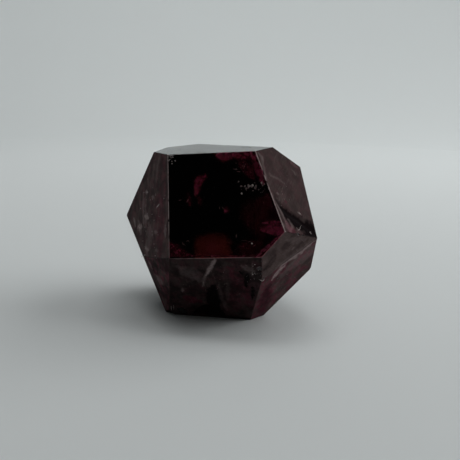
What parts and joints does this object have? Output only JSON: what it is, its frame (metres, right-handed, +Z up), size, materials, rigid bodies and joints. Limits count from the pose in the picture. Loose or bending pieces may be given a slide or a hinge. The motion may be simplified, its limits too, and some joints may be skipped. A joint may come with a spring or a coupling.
{
  "type": "garnet crystal",
  "caption": "Dark red garnet crystal with flat polished facets, crisp edges and small shell-shaped chips, standing on a flat base facet.",
  "frame": {"origin": "middle of the footprint of the crystal's outer box, at the height of the base facet", "axes": "+Z up from the base facet, -Y towards the large front facet, +X to the right of that facet"},
  "size_m": [0.045, 0.04, 0.0385],
  "materials": {
    "garnet": "polished natural garnet, deep red and almost black, with veils, flecks and red glints inside"
  },
  "bodies": {
    "root": {"garnet_crystal": "garnet"}
  },
  "joints": []
}
